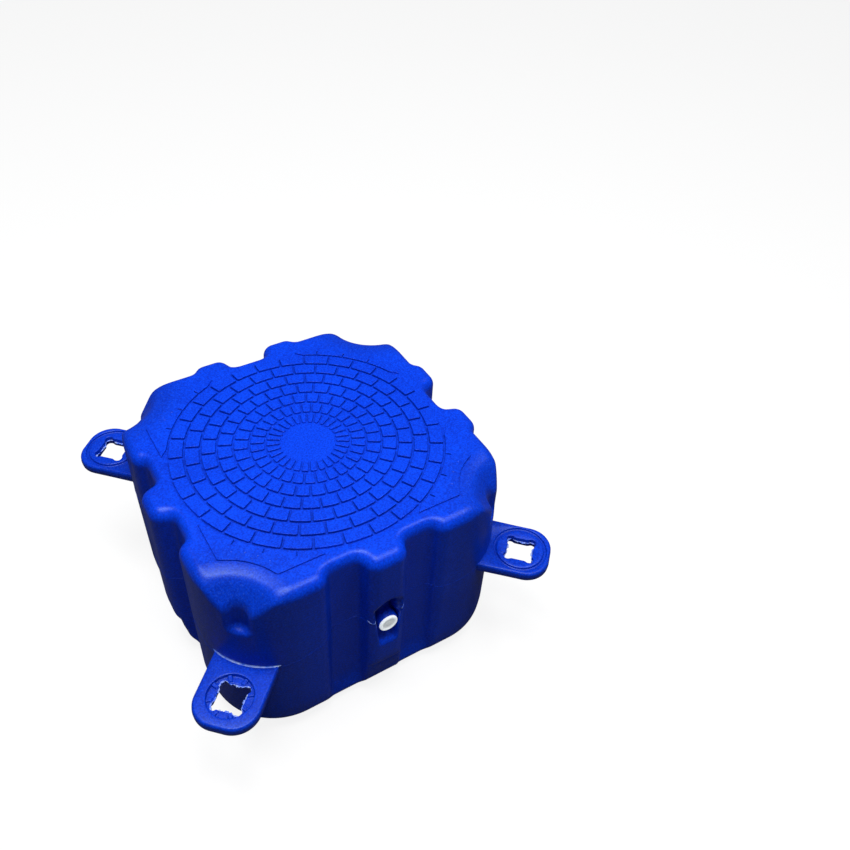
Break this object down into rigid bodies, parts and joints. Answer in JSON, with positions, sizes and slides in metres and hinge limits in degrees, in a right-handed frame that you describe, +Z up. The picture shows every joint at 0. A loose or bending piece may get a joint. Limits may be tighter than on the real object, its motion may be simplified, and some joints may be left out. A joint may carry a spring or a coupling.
{
  "type": "floating dock cube",
  "caption": "Hollow moulded float of a modular dock, with stepped corner lugs for connecting pins, a non-slip brick tread and a screwed vent plug.",
  "frame": {"origin": "centre of the base, midway between the four lug holes", "axes": "+Z up through the deck, -Y out through the plug's side, +X to the right seen from there"},
  "size_m": [0.6084, 0.6084, 0.355],
  "materials": {
    "float_body": "matte",
    "vent_plug": "gloss",
    "plug_seal": "matte"
  },
  "bodies": {
    "root": {"float_body": "float_body", "vent_plug": "vent_plug", "plug_seal": "plug_seal"}
  },
  "joints": []
}
